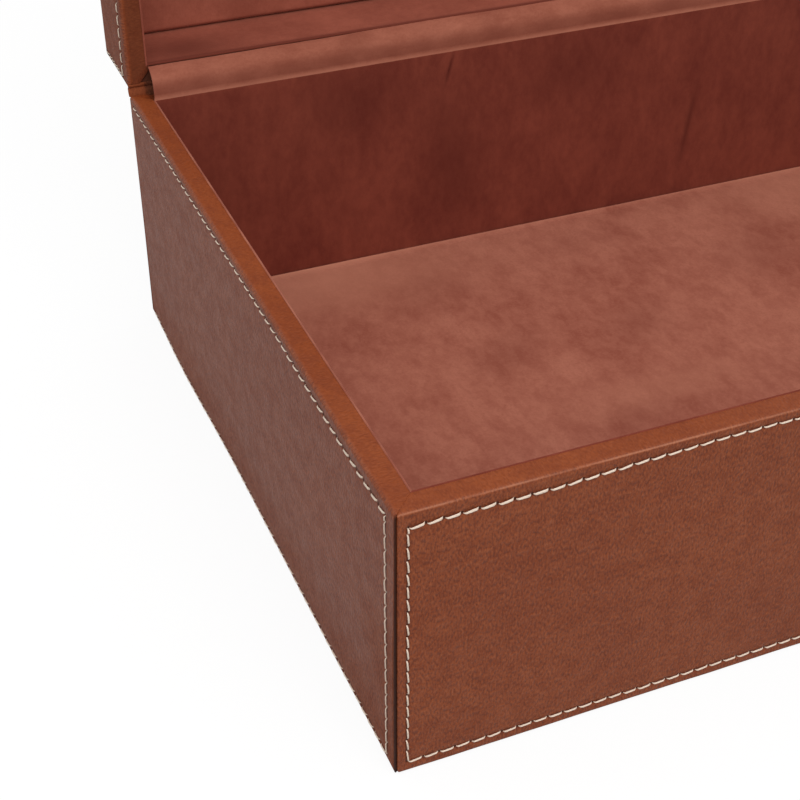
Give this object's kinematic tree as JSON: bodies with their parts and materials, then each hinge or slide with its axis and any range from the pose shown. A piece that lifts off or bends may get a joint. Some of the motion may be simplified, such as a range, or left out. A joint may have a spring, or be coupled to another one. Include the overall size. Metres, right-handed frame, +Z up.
{
  "type": "stationery box",
  "caption": "Leather-wrapped board box for papers with a suede-lined base and a hinged lid on a leather hinge, shown open.",
  "frame": {"origin": "centre of the base's underside, on the surface that the box stands on", "axes": "+X along the front towards the right, +Y towards the back and the hinge, +Z up; the lid stands open at right angles"},
  "size_m": [0.34, 0.282, 0.3407],
  "materials": {
    "leather": "saddle-brown grained leather",
    "edging_leather": "smooth burnished leather",
    "suede": "brushed microsuede, terracotta",
    "board": "fine fibreboard, unfinished",
    "underside": "brown backing suede"
  },
  "bodies": {
    "base": {"base_floor_board": "board", "base_floor_pad": "suede", "base_front_board": "board", "base_front_leather": "leather", "base_front_lining": "suede", "base_left_board": "board", "base_left_leather": "leather", "base_left_lining": "suede", "base_rear_board": "board", "base_rear_edging": "edging_leather", "base_rear_lining": "suede", "base_right_board": "board", "base_right_leather": "leather", "base_right_lining": "suede", "base_underside_cover": "underside", "rear_cover_leather": "leather", "hinge_suede_strip": "suede"},
    "lid": {"lid_front_board": "board", "lid_front_leather": "leather", "lid_front_lining": "suede", "lid_left_board": "board", "lid_left_leather": "leather", "lid_left_lining": "suede", "lid_rear_board": "board", "lid_rear_edging": "edging_leather", "lid_rear_lining": "suede", "lid_right_board": "board", "lid_right_leather": "leather", "lid_right_lining": "suede", "lid_top_board": "board", "lid_top_leather": "leather", "lid_top_pad": "suede"}
  },
  "joints": [
    {"name": "lid_hinge", "type": "hinge", "parent": "base", "child": "lid", "pos_m": [0, 0.1252, 0.0915], "axis": [1, 0, 0], "range_deg": [0, 90], "deforming": ["rear_cover_leather", "hinge_suede_strip"]}
  ]
}
